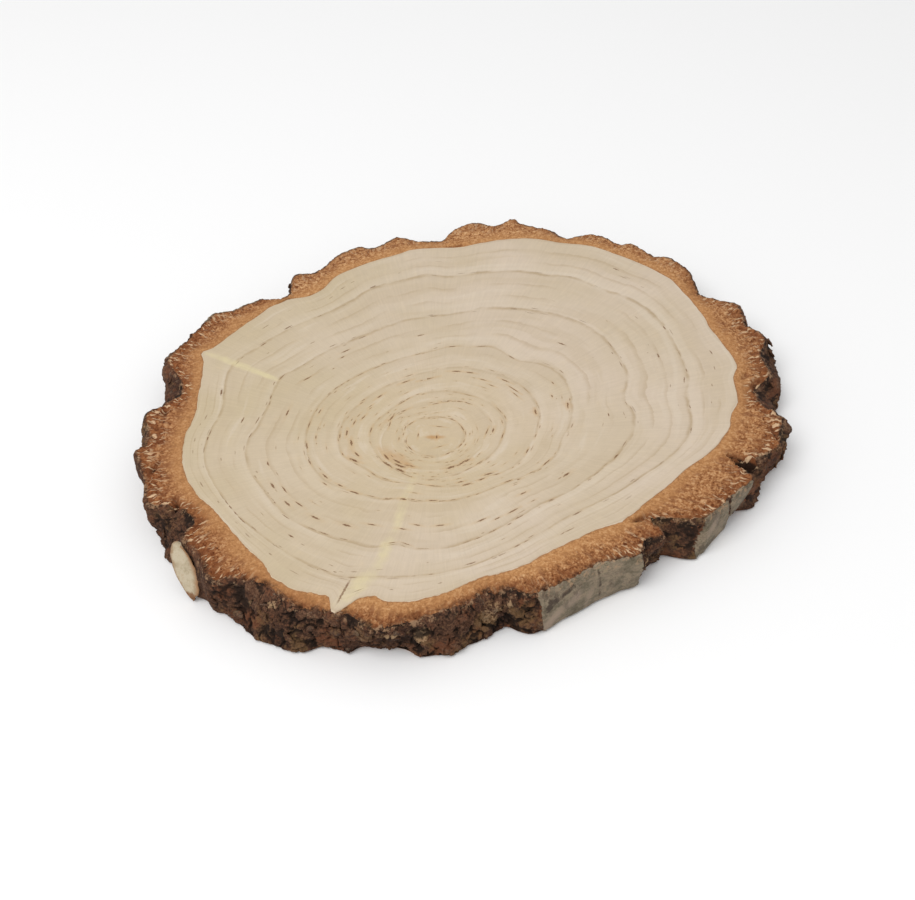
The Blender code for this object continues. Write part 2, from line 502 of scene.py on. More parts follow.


# %% [markdown]
# ## The colour of birch wood
#
# Fresh birch is a pale cream, a little pinker here and yellower there. Each year ends in a thin brown line,
# with the wood just inside it a shade darker. Fine rays run outwards across the rings. The brown dashes are
# pith flecks, healed wounds that an insect's grub left along a ring; the darkest are listed one by one on
# their rings and the small ones are scattered. Where a branch left, a pale yellow streak points at the pith.

# %% Colours of the wood
PINK_CREAM = (0.604, 0.497, 0.384)
YELLOW_CREAM = (0.530, 0.430, 0.282)
LATE_WOOD = (0.500, 0.393, 0.262)
EARLY_WOOD = (0.650, 0.555, 0.440)
RING_LINE = (0.370, 0.258, 0.138)
FLECK = (0.160, 0.070, 0.024)
RUST = (0.470, 0.270, 0.115)
AMBER = (0.535, 0.405, 0.215)
HALO = (0.540, 0.360, 0.180)
BRANCH_WOOD = (0.640, 0.545, 0.330)

# How plain each ring's line is, and how thick it is as a share of a year.
LINE_LOOKS = (
    (0.0, 0.05), (0.24, 0.06), (0.14, 0.05), (0.32, 0.060), (0.34, 0.050), (0.40, 0.032), (0.48, 0.030),
    (0.52, 0.034), (0.0, 0.04),
)

# %% Pith flecks, as (degrees, mm from the pith, length in mm, thickness in mm)
FLECKS = (
    (10, 18, 2.1, 0.7), (9, 16, 3, 0.4), (20, 44, 3, 0.7), (21, 33.3, 2.7, 0.7), (12, 62.7, 1.6, 0.5),
    (11, 54.7, 1.6, 0.5), (28, 41.5, 1.2, 0.6), (29, 83, 2.4, 0.7), (36, 94.5, 2, 0.7),
    (25, 99.5, 2, 0.6), (35, 45.5, 1.3, 0.5), (43, 33.7, 4.4, 0.5), (39, 32.3, 2.8, 0.4),
    (51, 35.1, 3, 0.6), (54.5, 30.5, 1.8, 0.4), (48.5, 62.3, 3, 0.8), (55, 110.5, 2.4, 0.6),
    (61.5, 31.5, 2.5, 0.5), (58, 19, 2.2, 0.5), (67, 18.4, 2.5, 0.5), (71, 33.2, 2.4, 0.6),
    (78.5, 32.7, 3, 0.7), (79.5, 17.2, 3.2, 0.7), (90, 15.8, 2.4, 0.4), (83.5, 45.5, 2.4, 0.6),
    (96, 51.7, 2.6, 0.6), (96, 28.2, 4.2, 0.6), (110, 28.4, 3, 0.6), (106, 82.7, 2.6, 0.7),
    (125, 52.2, 3.2, 0.7), (128, 50, 1.6, 0.5), (145.5, 50.1, 3.4, 0.6), (132, 75, 3, 0.7),
    (141, 73.8, 2.4, 0.5), (131.5, 15.8, 3.3, 0.5), (146.5, 16.2, 3, 0.7), (157, 15.2, 2.4, 0.4),
    (150, 10.3, 3.4, 0.4), (132.5, 26.2, 2.3, 0.6), (144.5, 25, 1.6, 0.4), (157.5, 24.1, 2.2, 0.5),
    (165, 25.8, 2.1, 0.5), (176, 27, 2.5, 0.7), (161.5, 38, 2, 0.8), (166, 47.4, 3.3, 0.7),
    (162.5, 71.2, 3.4, 0.8), (172.5, 60, 2.8, 0.6), (173, 35.7, 2, 0.5), (180, 36.2, 1.6, 0.5),
    (186, 38.8, 3.2, 0.6), (186, 25.4, 2.8, 0.9), (196.5, 38.8, 2.6, 0.6), (198.5, 24.6, 2.5, 0.8),
    (203.5, 26.2, 3.2, 1), (180.5, 69, 2.2, 0.5), (193.5, 50.9, 2, 0.6), (204.5, 51.7, 2.7, 0.9),
    (208, 49.2, 3.2, 0.6), (208.5, 36.5, 2.7, 0.7), (214.5, 51, 2.9, 0.8), (217, 48.4, 3.2, 0.6),
    (225.8, 48.2, 2.9, 0.9), (220, 44.5, 1.8, 0.6), (226.5, 33.5, 2.9, 0.8), (218, 34.7, 1.8, 0.6),
    (237, 44.9, 2.9, 0.9), (226.5, 57.7, 2, 0.6), (231.5, 16.3, 3.6, 1.7), (225, 15.6, 3.4, 0.8),
    (240, 14.8, 3, 0.6), (245, 41.2, 2.6, 0.6), (257.5, 40, 2.2, 0.6), (263, 37.8, 2, 0.5),
    (252.5, 28.4, 2.5, 0.8), (269.5, 27.6, 2.6, 0.5), (273, 37.7, 2.5, 0.6), (281, 54, 2.2, 0.6),
    (291, 38.1, 3, 0.6), (290.5, 14.4, 3, 1), (308, 14.3, 4.6, 1), (302, 14.4, 3.2, 0.5),
    (294.5, 23, 2.8, 0.7), (291.5, 21.3, 1.7, 0.5), (306.5, 23.3, 2.2, 0.6), (314.5, 23, 3, 0.7),
    (305.5, 39.1, 3.7, 0.6), (297.5, 39.3, 2, 0.5), (316.5, 35.7, 2, 0.6), (318, 29.2, 2.8, 0.5),
    (321, 43.5, 1.8, 0.5), (336.7, 42.3, 2.8, 0.8), (341, 35.2, 3.6, 0.5), (351, 55, 2.4, 0.6),
    (347, 28.5, 2, 0.5), (2, 0.5, 1.6, 0.6), (22, 9.3, 2.4, 0.4), (58, 9.7, 2.6, 0.4), (97, 9.2, 3, 0.4),
    (140, 9.8, 2.4, 0.4), (214, 9, 2.4, 0.5), (258, 8.8, 2.2, 0.4), (300, 8.4, 2.4, 0.4),
    (334, 8.6, 2, 0.4), (75, 5, 2.2, 0.35), (170, 5.2, 1.8, 0.35), (290, 4.6, 1.8, 0.35),
    (222, 18.6, 4, 1), (236, 18, 3, 1.2), (212, 17, 3, 0.9),
)


def along_the_ring(degrees, radius):
    """A place in the wood, in mm from the pith, and the direction that its ring runs in there."""
    year = year_at(degrees, radius)
    turns = np.array([degrees - 1.5, degrees + 1.5])
    start, end = towards(turns) * radius_of(np.array([year, year]), turns)[:, None]
    return *(towards(np.array([degrees]))[0] * radius), math.atan2(*(end - start)[::-1])


# %% Faint flecks, placed by dice
def flecks_in(years, dice, lengths, thicknesses, strengths):
    """A fleck in each of some years, in any direction, with looks between two ends."""
    turns = dice.uniform(0.0, 360.0, len(years))
    looks = [dice.uniform(*ends, len(years)) for ends in (lengths, thicknesses, strengths)]
    return list(zip(turns, radius_of(years, turns), *looks))


def scattered(count, seed):
    """Small faint flecks anywhere in the wood, fewer of them far out."""
    dice = np.random.default_rng(seed)
    years = 1.0 + 6.6 * dice.random(count) ** 1.3
    return flecks_in(years, dice, (0.7, 2.2), (0.25, 0.45), (0.25, 0.75))


def on_the_lines(count, seed):
    """Thin broken lines that lie in the ring lines themselves."""
    dice = np.random.default_rng(seed)
    years = dice.choice([1, 3, 4, 5, 6, 7, 7.5], count, p=[0.04, 0.10, 0.14, 0.20, 0.22, 0.22, 0.08])
    years = years + dice.normal(0.0, 0.035, count)
    return flecks_in(years, dice, (1.2, 4.2), (0.28, 0.50), (0.35, 0.95))


# %% Work out each fleck's own frame
# The crack at the front branch: (x, y, direction, length, thickness, strength), in mm from the pith.
CRACK = (-23.6, -62.4, math.radians(70.5), 10.5, 0.8, 0.85)
placed = [(turn, reach, length * 1.15, thick * 0.9, 1.0) for turn, reach, length, thick in FLECKS]
fleck_sets = {}
for face, flecks, more in (
    ("above", placed + scattered(230, 11) + on_the_lines(260, 13), [CRACK]),
    ("below", scattered(330, 12) + on_the_lines(230, 14), []),
):
    framed = [(*along_the_ring(turn, reach), *looks) for turn, reach, *looks in flecks]
    fleck_sets[face] = np.array(framed + more)
print({face: len(flecks) for face, flecks in fleck_sets.items()})


# %% Give each face its nearest fleck
def along_and_over(dx, dy, angle):
    """How far a place lies along and across a line at an angle, from how far it lies from its middle."""
    return dx * np.cos(angle) + dy * np.sin(angle), dy * np.cos(angle) - dx * np.sin(angle)


def nearest_flecks(flecks, places):
    """The number of the fleck that is nearest to each place."""
    found = []
    for some in np.array_split(places, 60):  # a few at a time, to save memory
        along, over = along_and_over(some[:, :1] - flecks[:, 0], some[:, 1:2] - flecks[:, 1], flecks[:, 2])
        past_its_end = np.maximum(np.abs(along) - flecks[:, 3] / 2, 0.0)
        found.append(np.argmin(past_its_end**2 + over**2, axis=1))
    return np.concatenate(found)


def hold_flecks(mesh):
    """Gives every face's corners their place in the frame of the fleck nearest to that face."""
    places = corners_of(mesh) / MM - (*PITH, 0.0)
    sizes, corner_of = np.empty(len(mesh.polygons), int), np.empty(len(mesh.loops), int)
    mesh.polygons.foreach_get("loop_total", sizes)
    mesh.loops.foreach_get("vertex_index", corner_of)
    centres = np.empty(len(mesh.polygons) * 3)
    mesh.polygons.foreach_get("center", centres)
    centres = centres.reshape(-1, 3) / MM - (*PITH, 0.0)
    held = np.empty((len(mesh.loops), 3))
    for face, flecks in fleck_sets.items():
        mine = (centres[:, 2] > TOP / 2) == (face == "above")
        chosen = flecks[nearest_flecks(flecks, centres[mine])]
        chosen = np.repeat(chosen, sizes[mine], axis=0)
        on_it = np.repeat(mine, sizes)
        away = places[corner_of[on_it], :2] - chosen[:, :2]
        along, over = along_and_over(*away.T, chosen[:, 2])
        held[on_it] = np.column_stack([along / (chosen[:, 3] / 2), over / (chosen[:, 4] / 2), chosen[:, 5]])
    hold(mesh, "fleck", held, "CORNER")


# %% [markdown]
# ## Where branches left
#
# Each branch trace is a streak of paler, yellower wood that points at the pith, and the middle of the slice
# has a few rusty stains. They are soft and several millimetres wide, so each is a long oval of paint on the
# corners of the mesh: full in its middle, gone at its edge.

# %% Soft ovals of paint, as (x, y, degrees, length, width, strength), in mm from the pith
BRANCH_TRACES = (
    (-64, 35.4, -29, 30, 4.4, 0.7), (-55, 30.2, -31, 13, 3.2, 0.9), (-72, 39.6, -29, 14, 3, 0.5),
    (-19.5, -60, 54, 24, 7, 0.6), (-13.5, -48, 77, 24, 5, 0.55), (-9.4, -33, 80, 28, 4.4, 0.5),
    (-6.4, -20, 80, 14, 3.4, 0.4),
)
STAINS = (
    (-12, -9.4, -43, 18, 8, 0.45), (-7.6, -12.6, -30, 7, 3, 0.6), (0, 0, 3, 8, 2.6, 0.85),
    (-25.6, -6.5, 100, 16, 4, 0.25), (-15, 7.2, 54, 12, 3.5, 0.28), (41.3, 15, 109, 8, 4, 0.32),
    (31, 11.8, 112, 7, 3.5, 0.28), (9, -11.3, 26, 9, 3, 0.32),
)


def painted(ovals, places):
    """How much paint a set of ovals leaves at each place: the most that any one of them gives."""
    paint = np.zeros(len(places))
    for x, y, degrees, length, width, strength in ovals:
        along, over = along_and_over(places[:, 0] - x, places[:, 1] - y, math.radians(degrees))
        away = np.hypot(along / (length / 2), over / (width / 2))
        paint = np.maximum(paint, strength * np.clip(1.0 - away**2, 0.0, 1.0))
    return paint


# %% Mix the wood's material
BANDS_IN_A_YEAR, BANDS_ROUND = 2.6, 1.1  # how often the bands change, outwards and round
PAUSES_IN_A_YEAR = 3.0  # faint lines between one ring line and the next
RAYS_ROUND, RAY_LENGTH = 12.0, 13.0  # rays to a radian in the first ring, and mm


def birch_wood():
    material, place = start_material("birch_wood")
    flat, reach, ahead = seen_from_pith(place)
    side_x, side_y, _ = parts_of(ahead)
    year, _, _ = attribute(place, "growth")
    branch, stain, _ = attribute(place, "stains")
    along, over, strength = attribute(place, "fleck")
    year = year + swing(grain(flat, 0.11, 4.0, 0.6), 0.13)
    whole, share = (year + 0.5).then("FLOOR"), year.then("FRACT")
    cloud, soft, fine = grain(flat, 0.07, 3.0), grain(flat, 0.28, 3.0, 0.6), grain(place, 2.6, 2.0, 0.7)

    # The ground colour is yellower on the left and amber round the pith.
    left = smooth(parts_of(flat)[0], 25.0, -60.0)
    colour = mixed(smooth(grain(flat, 0.03, 2.0), 0.35, 0.65) * 0.45 + left * 0.55, PINK_CREAM, YELLOW_CREAM)
    colour = mixed(smooth(reach + swing(cloud, 50), 52.0, 4.0) * 0.44, colour, AMBER)

    # Bands follow the rings: light just outside a ring line, darker just inside the next.
    bands = vector_of(year * BANDS_IN_A_YEAR, side_x * BANDS_ROUND, side_y * BANDS_ROUND)
    bands = grain(bands, 1.0, 3.0, 0.65)
    pause = (year * PAUSES_IN_A_YEAR + swing(soft, 0.25)).then("FRACT")
    pause = smooth(pause, 0.72, 0.97) * smooth(pause, 1.0, 0.98) * smooth(year, 3.6, 5.2)
    pause = pause * smooth(grain(flat, 0.05, 3.0), 0.42, 0.60)
    colour = layered(
        colour,
        (smooth(share, 0.45, 0.0) * smooth(bands, 0.35, 0.60) * 0.26, EARLY_WOOD),
        (smooth(share, 0.40, 1.0) * smooth(bands, 0.30, 0.55) * 0.20, LATE_WOOD),
        (smooth(bands, 0.50, 0.38) * 0.34, LATE_WOOD),
        (smooth(bands, 0.55, 0.68) * 0.40, EARLY_WOOD),
        (pause * 0.30, RING_LINE),
    )

    # The ring lines, each sharper on its outer side, and the two kinds of soft paint.
    stops = [(ring / YEARS, (plain, thick, 0.0)) for ring, (plain, thick) in enumerate(LINE_LOOKS)]
    plain, thick, _ = parts_of(toned(whole / YEARS, stops))
    inside = (whole - year) / thick
    line = 1 - smooth((inside * 0.45).then("MAXIMUM", inside * -0.8), 0.0, 1.0)
    line = line * plain * smooth(grain(flat, 0.16, 3.0), 0.34, 0.62)
    colour = layered(
        colour,
        (line, RING_LINE),
        (smooth(branch + swing(soft, 0.8), 0.05, 0.9), BRANCH_WOOD),
        (smooth(stain + swing(soft, 0.7), 0.05, 0.9), RUST),
    )

    # Rays run outwards, and each fleck is an oval with a ragged edge and a faint halo.
    ray_x, ray_y, _ = parts_of(scaled(ahead, (whole + 1) * RAYS_ROUND))
    rays = grain(vector_of(ray_x, ray_y, reach / RAY_LENGTH + whole * 5.3), 1.25, 2.0, 0.6)
    ragged = grain(flat, 1.6, 2.0, 0.6) - 0.5
    away = length_of(vector_of(along + ragged * 0.7, over + ragged * 1.8))
    mark = (1 - smooth(away, 0.45, 1.15)) * strength * (0.60 + smooth(fine, 0.3, 0.6) * 0.38)
    halo = smooth(away, 3.6, 0.8) * strength * smooth(reach, 70.0, 20.0)
    colour = layered(colour, (halo * 0.42, HALO), (mark, FLECK))
    colour = scaled(colour, 1 + swing(rays, 0.16) + swing(fine, 0.09) + swing(soft, 0.10))

    height = 0.5 + swing(rays, 0.5) + swing(fine, 0.6) - line * 0.4 - mark * 0.3
    return finish_material(material, colour, 0.62 + swing(soft, 0.2), 0.35, height, 0.05 * MM)


# %% Turn the disc and move it out to its rings
def build_wood():
    maker = spin_section(wood_section(), WOOD_STEPS, closed=False)
    piece = new_piece("wood", maker, birch_wood())
    spun = corners_of(piece.data)
    year = np.clip(np.hypot(spun[:, 0], spun[:, 1]), 0.0, YEARS)
    degrees = np.degrees(np.arctan2(spun[:, 1], spun[:, 0]))
    turn = towards(degrees)
    radius = radius_of(year, degrees)
    last = year > YEARS - 0.01
    radius[last] += 0.3 * ripple(np.column_stack([turn[last] * 80, np.zeros(last.sum())]), 4.0)
    face = np.abs(spun[:, 2]) > 0.9
    radius[last & face] -= EDGE_SOFTNESS
    height = np.where(spun[:, 2] > 0, TOP, 0.0)
    height[~face] += np.where(spun[~face, 2] > 0, -EDGE_SOFTNESS, EDGE_SOFTNESS)
    flat = turn * radius[:, None]
    move_corners(piece.data, np.column_stack([PITH + flat, height]))
    hold(piece.data, "growth", np.column_stack([year, 0 * year, 0 * year]))
    above = height > TOP / 2
    paint = [painted(BRANCH_TRACES, flat), painted(STAINS, flat) * above, above]
    hold(piece.data, "stains", np.column_stack(paint))
    hold_flecks(piece.data)
    piece.data.set_sharp_from_angle(angle=math.radians(35))
    return piece


wood = build_wood()

# %% [markdown]
# ## The shape of the bark
#
# Old birch bark splits into black, blocky plates, and here and there a smooth silver one survives from when
# the tree was young. The saw has torn a flat orange face across all of it, and the rim has broken away in
# places. All of this is one ring, so it is spun like the wood, from a closed section whose rows are known by
# number. A corner's row then says what it is: cut face, rim, outer side, foot or underside.

# %% Name the ring's rows
CUT, CORNER, SIDE, UNDER, HIDDEN = 24, 4, 28, 7, 3  # rows of faces
RIM_ROW = CUT + CORNER
FOOT_ROW = RIM_ROW + SIDE
UNDER_ROW = FOOT_ROW + CORNER
BARK_ROWS = UNDER_ROW + UNDER + HIDDEN
BARK_STEPS = 1260
TUCKED_IN = 0.8  # mm, how far the ring reaches in under the edge of the wood
ROUNDING = 0.45  # mm, at the rim and the foot
print(f"{BARK_ROWS} rows, {BARK_ROWS * BARK_STEPS * 2} triangles")

# %% Where the rim has broken away, as (degrees, mm)
RIM_WEAR = (
    (0, 2), (2, 3.5), (4.5, 2), (6, 0.5), (8.5, 3), (11, 4.5), (13.8, 9), (15.5, 5), (18, 5), (21, 7),
    (23, 5), (25, 1.5), (26.5, 0.4), (34, 0.8), (39, 0.3), (46, 0.7), (55, 0.3), (63, 0.8), (72, 0.3),
    (80, 0.6), (90, 0.4), (97, 0.9), (107, 0.3), (119, 0.7), (132, 0.4), (142, 0.8), (150, 0.3),
    (155, 0.3), (157, 1.5), (160, 3.5), (163, 4.5), (165, 3.5), (167, 1.2), (169, 0.3), (173, 0.8),
    (177, 1), (183, 0.4), (186, 0.8), (189, 0.3), (196, 0.3), (199.5, 1), (203, 2.2), (207, 1.2),
    (210, 0.3), (222, 0.3), (226, 1), (236, 1.8), (245, 0.6), (250, 1.2), (262, 1), (270, 0.8),
    (276, 1.3), (284, 0.8), (291, 0.6), (295, 0.2), (320, 0.2), (322, 0.6), (328, 0.8), (331, 0.4),
    (335, 0.2), (350, 0.2), (353, 1.4), (357, 0.8),
)
wear_table = closed_curve(RIM_WEAR)

# %% Where silver plates survive
# (degrees at the foot, from and to; degrees at the rim, from and to; mm up, from and to; mm of tearing)
SILVER_PLATES = (
    (295.2, 321.0, 294.6, 320.4, -1.0, 16.0, 0.5),
    (333.6, 344.2, 336.6, 342.4, -1.0, 16.0, 0.3),
    (343.6, 348.6, 343.4, 349.0, 6.5, 16.0, 0.5),
    (58.0, 70.0, 61.0, 74.0, -1.0, 12.5, 1.6),
    (101.0, 112.0, 98.5, 110.0, 2.0, 16.0, 1.4),
    (128.0, 141.0, 131.0, 143.0, -1.0, 16.0, 1.6),
)
PLATE_PROUD = 0.55  # mm
NO_PLATE = -9.0  # mm inside a plate, for a place that is far from any


def plate_cover(degrees, height):
    """How far inside a silver plate each place is, in mm, and below 0 outside every plate."""
    share = height / TOP
    mm_a_degree = np.radians(bark_side(degrees, share))
    torn = ripple(np.column_stack([degrees * 1.4, height, 0 * height]), 2.6)
    cover = np.full(len(degrees), NO_PLATE)
    for foot_from, foot_to, rim_from, rim_to, low, high, tearing in SILVER_PLATES:
        start = foot_from + (rim_from - foot_from) * share
        end = foot_to + (rim_to - foot_to) * share
        sideways = np.minimum(degrees - start, end - degrees) * mm_a_degree
        inside = np.minimum(sideways, np.minimum(height - low, high - height))
        cover = np.maximum(cover, inside + torn * tearing)
    return cover


# %% Ovals of paint on the outside, as (degrees, mm up, tilt in degrees, length, width, strength)
SCABS = (
    (297, 9, 35, 10, 4.4, 0.85), (302, 11.4, 20, 7, 2.8, 0.8), (311, 8, 92, 15, 1.5, 0.7),
    (339, 3, 60, 6, 2, 0.7), (346.5, 8, 70, 4, 1.8, 0.8), (64, 8, 20, 8, 2.5, 0.9),
    (105, 9, 80, 7, 2, 0.8), (136, 6, 30, 7, 3, 0.9), (271, 3.5, 60, 8, 6, 1), (232, 5, 10, 12, 6, 0.8),
    (248, 4, 0, 9, 5, 0.8), (280, 4, 20, 9, 5, 0.8), (291.5, 11.5, 20, 6, 4, 1), (350, 8, 60, 9, 7, 1),
)
PALE_TEARS = (
    (262, 10.6, 6, 17, 1.9, 0.9), (267.8, 9, 65, 7.5, 5, 1), (288.4, 10.8, 30, 3.6, 2, 1),
    (284.5, 8, 0, 15, 11, 0.62), (236.5, 12.2, 15, 5.5, 2.2, 1), (231, 9, 60, 4, 2, 0.8),
    (322.6, 8, 80, 9, 1.6, 0.8), (30, 9, 70, 6, 2, 0.8), (95, 8, 10, 10, 2.5, 0.8),
    (160, 6, 30, 8, 2.5, 0.8),
)
PINK_PLACES = (
    (297.5, 3.4, 35, 13, 4.5, 1), (303.5, 7, 35, 9, 4, 0.8), (308, 5, 70, 8, 3, 0.5),
    (338, 9.5, 60, 9, 3.5, 0.7), (68, 5, 20, 9, 4, 0.8),
)
PAINT_RADIUS = 72.0  # mm, where an oval's length round the bark is true


# %% [markdown]
# ## The relief
#
# Colour alone would leave the bark as smooth as paint, and bump alone would leave its outline smooth, so the
# relief moves the mesh. On the cut face the saw has pulled out crumbs, and whole pits near the rim. The black
# bark cracks into blocks, which is what the borders between Voronoi cells look like, and it scales off in
# layers, which is noise cut into steps.

# %% The relief of the cut face
CRUMBLE = 1.0  # mm, how deep the torn outer half of it goes
# Pits and gaps in it, as (x, y, degrees, length, width, depth), in mm, from the pith.
PITS = (
    (93.5, -10.8, -29, 11, 5.5, 8), (90, -8, -10, 6, 3, 4), (98, -8.5, 50, 6, 2.5, 3.5),
    (103, 26.5, 70, 9, 5, 2.4), (99.5, 31, 60, 7, 3, 1.2), (104.5, 3, 95, 9, 3, 2),
    (58.5, -34.5, 30, 7, 2, 2.5), (-83, -12, 80, 9, 3, 1.6), (-84.5, 13, 100, 8, 3, 1.6),
    (-74, -28.5, 110, 8, 3, 2.4), (17, -61.8, 5, 9, 2.6, 1.6), (-5, -69.8, 8, 9, 2.4, 1.2),
    (70, 93, 40, 9, 3, 1.6), (6, 106.5, 10, 10, 3, 1.6), (-52, 72, 35, 9, 3, 1.6),
)


def part(value):
    """A share kept between 0 and 1."""
    return np.clip(value, 0.0, 1.0)


def cut_depth(flat, share):
    """How far the cut face lies below its plane, in mm, at places a share of the way out to the rim."""
    crumbs = 0.5 + ripple(flat, 2.6, 4.0) + 0.5 * ripple(flat, 0.9, 2.0)
    behind = part(1.5 * flat[:, 1] / np.hypot(flat[:, 0], flat[:, 1]) - 0.3)  # the far side is less torn
    depth = CRUMBLE * np.clip(crumbs, 0.0, 1.6) * part((share - 0.30) / 0.5) * (1 - 0.6 * behind)
    return depth + painted(PITS, flat) * np.clip(0.8 + ripple(flat, 1.8), 0.3, 1.2)


# %% The relief of the black bark
BLOCK = (5.5, 5.5, 5.0)  # mm, the size of the blocks it cracks into
CRACK_DEPTH, CRACK_SHARE = 1.2, 0.11  # mm, and a share of a block
LAYER = 0.55  # mm, the thickness of one layer of the skin
# Where the outside is smoother, as (degrees, share of the relief): the left side, and behind the strip.
RELIEF_SHARES = (
    (179, 1.0), (184, 0.35), (196, 0.35), (199, 1.0), (207, 1.0), (210, 0.3), (222, 0.3), (225, 1.0),
)


def bark_relief(places):
    """How far the rough bark stands out or in at each place, in mm: cracks, torn layers, lumps and crumbs."""
    cracks, crumbs = np.empty(len(places)), np.empty(len(places))
    for number, (x, y, z) in enumerate(places):
        warp = noise.noise_vector(Vector((x, y, z)) / 4.0) * 2.4
        block = Vector(((x + warp.x) / BLOCK[0], (y + warp.y) / BLOCK[1], (z + warp.z) / BLOCK[2]))
        near = noise.voronoi(block)[0]
        cracks[number] = max(0.0, 1.0 - (near[1] - near[0]) / CRACK_SHARE)
        crumbs[number] = noise.ridged_multi_fractal(Vector((x, y, z)) / 3.4, 0.8, 2.1, 4.0, 1.0, 2.0)
    layer = 2.3 * ripple(places, 5.5, 4.0)
    step = part((layer - np.floor(layer) - 0.72) / 0.28)
    layers = np.floor(layer) + step * step * (3 - 2 * step)
    lumps = 0.5 * ripple(places, 8.0) + 0.30 * ripple(places, 1.4)
    return lumps + LAYER * layers - CRACK_DEPTH * cracks**2 + 0.30 * (crumbs - crumbs.mean())


# %% [markdown]
# ## Spinning the ring
#
# The section is a small circle that stands off the axis, with a point for each row, because a closed chain
# spins into a closed ring. Every corner then moves to its real place: its angle round the axis says which way
# from the pith, and its angle round the section says which row. The places for all the corners are worked out
# together, as arrays.

# %% Work out the ring's profile
LEAST_WEAR = 0.15  # mm
LEAST_BAND = 3.0  # mm of cut face that wear always leaves
CUT_RISE = 0.28  # mm, from the rim up to where the cut face meets the wood


def worn_off(wear, drop):
    """How much of the wear is left at a drop below the rim: all at the rim, none a little over its depth."""
    return wear * part(1 - drop / (1.1 * wear + 0.1))


def bark_profile(row, degrees):
    """The distance from the pith and the height of each corner, in mm, before any relief."""
    inner = wood_edge(degrees) - TUCKED_IN
    rim = bark_side(degrees, 1.0)
    wear = np.clip(read(wear_table, degrees), LEAST_WEAR, np.maximum(rim - inner - LEAST_BAND, LEAST_WEAR))

    cut = part(row / CUT)
    distance = inner + (rim - wear - ROUNDING - inner) * cut
    height = RIM_HEIGHT + CUT_RISE * (1 - cut) - 0.6 * (row == 0)

    on_side = row > CUT
    bend = part((row - CUT) / CORNER) * np.pi / 2
    tall = RIM_HEIGHT - FOOT_HEIGHT - 2 * ROUNDING
    drop = ROUNDING * (1 - np.cos(bend)) + tall * part((row - RIM_ROW) / SIDE)
    out = bark_side(degrees, 1 - drop / (RIM_HEIGHT - FOOT_HEIGHT)) - worn_off(wear, drop)
    distance = np.where(on_side, out - ROUNDING * (1 - np.sin(bend)), distance)
    height = np.where(on_side, RIM_HEIGHT - drop, height)

    below = row > FOOT_ROW
    tuck = part((row - FOOT_ROW) / CORNER) * np.pi / 2
    foot = bark_side(degrees, 0.0)
    distance = np.where(below, foot - ROUNDING * (1 - np.cos(tuck)), distance)
    height = np.where(below, FOOT_HEIGHT + ROUNDING * (1 - np.sin(tuck)), height)

    under = row > UNDER_ROW
    inwards = part((row - UNDER_ROW) / UNDER)
    rise = part((row - UNDER_ROW - UNDER) / HIDDEN)
    distance = np.where(under, foot - ROUNDING + (inner - foot + ROUNDING) * inwards, distance)
    height = np.where(under, FOOT_HEIGHT + (RIM_HEIGHT - 0.9 - FOOT_HEIGHT) * rise, height)
    return distance, height


# %% Add the relief
CUT_RELIEF_DROP = 4.0  # mm below the rim, where the cut face's pits fade out
RELIEF_FADE = CORNER + 5  # rows from the cut face to the full relief of the side
PLATE_EDGE = 0.8  # mm


def bark_mesh_places(row, degrees):
    """Each corner's place from the pith, its relief, how far inside a plate it is, and if it is outside."""
    distance, height = bark_profile(row, degrees)
    turn = towards(degrees)

    # The cut face sinks by its depth, and the top of the side sinks with it.
    edge = bark_side(degrees, 1.0) - np.maximum(read(wear_table, degrees), LEAST_WEAR) - ROUNDING
    on_top = row < FOOT_ROW
    flat = turn[on_top] * np.minimum(distance, edge)[on_top, None]
    depth = cut_depth(np.column_stack([flat, 0 * flat[:, 0]]), part(row[on_top] / CUT))
    depth *= part(1 - (RIM_HEIGHT - height[on_top]) / CUT_RELIEF_DROP) * (row[on_top] > 1)
    height[on_top] -= depth

    # The side stands out or in by its relief, which the silver plates smooth away.
    places = np.column_stack([turn * distance[:, None], height])
    outside = (row > CUT) & (row < UNDER_ROW)
    relief, cover = np.zeros(len(row)), np.full(len(row), NO_PLATE)
    relief[on_top] = -depth
    relief[outside] = bark_relief(places[outside]) * between(RELIEF_SHARES, degrees[outside])
    cover[outside] = plate_cover(degrees[outside], height[outside])
    smoothed = part(cover / PLATE_EDGE + 0.5)
    relief = relief * (1 - 0.92 * smoothed) + PLATE_PROUD * smoothed
    distance = distance + relief * part(np.minimum((row - CUT) / RELIEF_FADE, (UNDER_ROW - row) / CORNER))

    # The saw leaves fine crumbs on the cut face and a ragged rim.
    torn = (row > 1) & (row < RIM_ROW)
    height[torn] += 0.13 * ripple(places[torn], 1.3)
    ragged = (row > CUT - 3) & (row <= CUT + 2)
    distance[ragged] += 0.16 * ripple(places[ragged] * (1, 1, 0), 1.4)
    places = np.column_stack([PITH + turn * distance[:, None], np.maximum(height, FOOT_HEIGHT * 0.6)])
    return places, relief, cover, outside


# %% [markdown]
# ## The colours of the bark
#
# Bark has three looks, and they meet on one piece: the orange face that the saw cut, the charcoal skin and
# the silver plates. Each look is a function that gives a colour, a roughness and a height, and the ring's
# material mixes the three by what its corners hold: how far they are from the wood and the rim, how far the
# relief stands out there, and whether a plate covers them.


# %% Colours of the bark
CUT_BARK_TONES = (
    (0.34, (0.150, 0.050, 0.015)), (0.43, (0.310, 0.126, 0.042)), (0.50, (0.440, 0.208, 0.083)),
    (0.57, (0.560, 0.300, 0.133)), (0.68, (0.700, 0.445, 0.235)),
)
